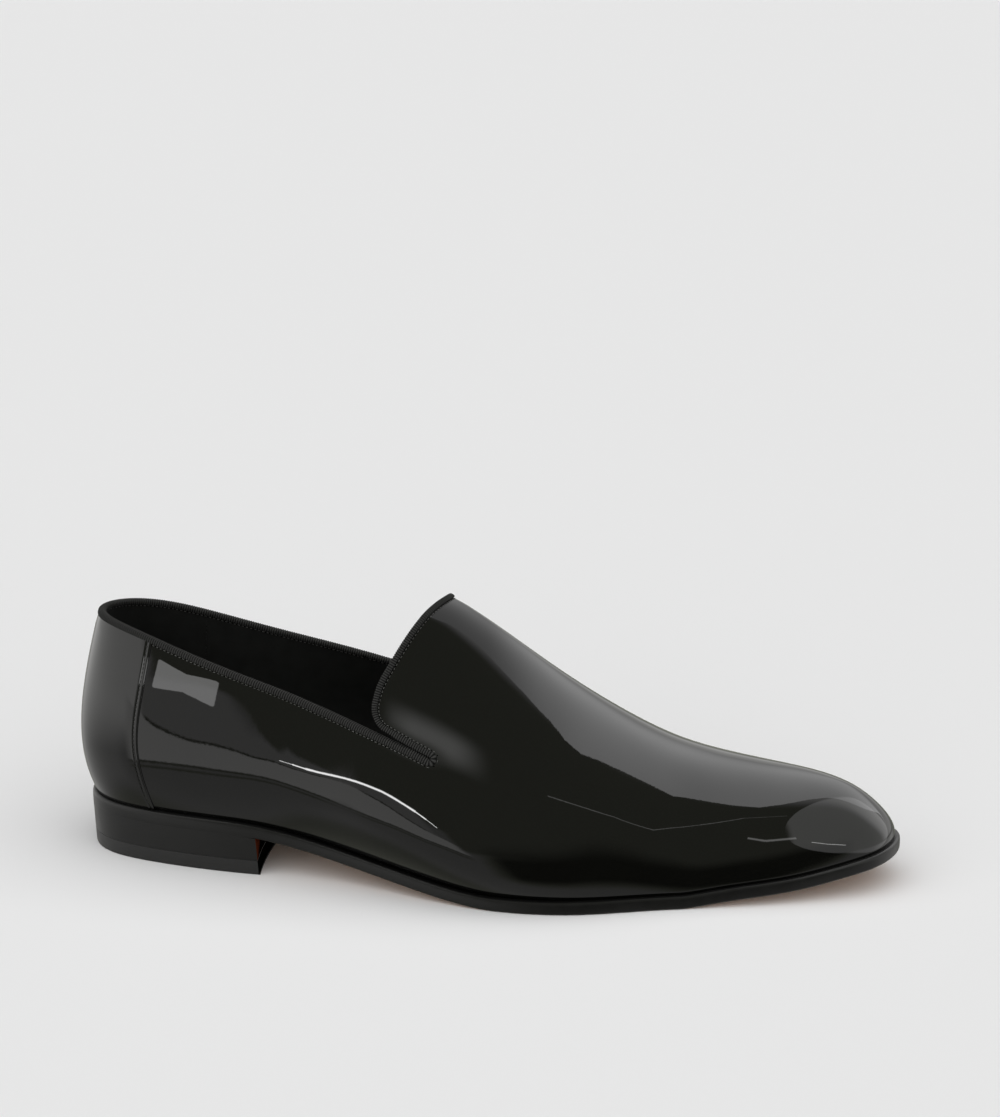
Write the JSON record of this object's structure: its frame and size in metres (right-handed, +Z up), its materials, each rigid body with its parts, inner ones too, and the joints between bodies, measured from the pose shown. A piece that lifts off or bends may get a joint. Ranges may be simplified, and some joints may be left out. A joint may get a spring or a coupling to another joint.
{
  "type": "slip-on dress shoe",
  "caption": "Plain-vamp patent leather slip-on dress shoe with side slits, ribbon-bound top line, heel counter, thin leather sole and low stacked heel, open at the collar for a foot.",
  "frame": {"origin": "on the floor, under the middle of the shoe's bounding box", "axes": "+X towards the toe, -Y towards the outer (lateral) side of a right shoe, +Z up"},
  "size_m": [0.3038, 0.1068, 0.1019],
  "materials": {
    "outsole": "black satin edge, tan leather underside",
    "heel_stack": "black satin",
    "heel_top_piece": "matt black",
    "upper": "black patent, high gloss",
    "heel_counter": "black patent, high gloss",
    "collar_binding": "black ribbed ribbon",
    "insole": "black smooth leather"
  },
  "bodies": {
    "root": {"outsole": "outsole", "heel_stack": "heel_stack", "heel_top_piece": "heel_top_piece", "upper": "upper", "heel_counter": "heel_counter", "collar_binding": "collar_binding", "insole": "insole"}
  },
  "joints": []
}
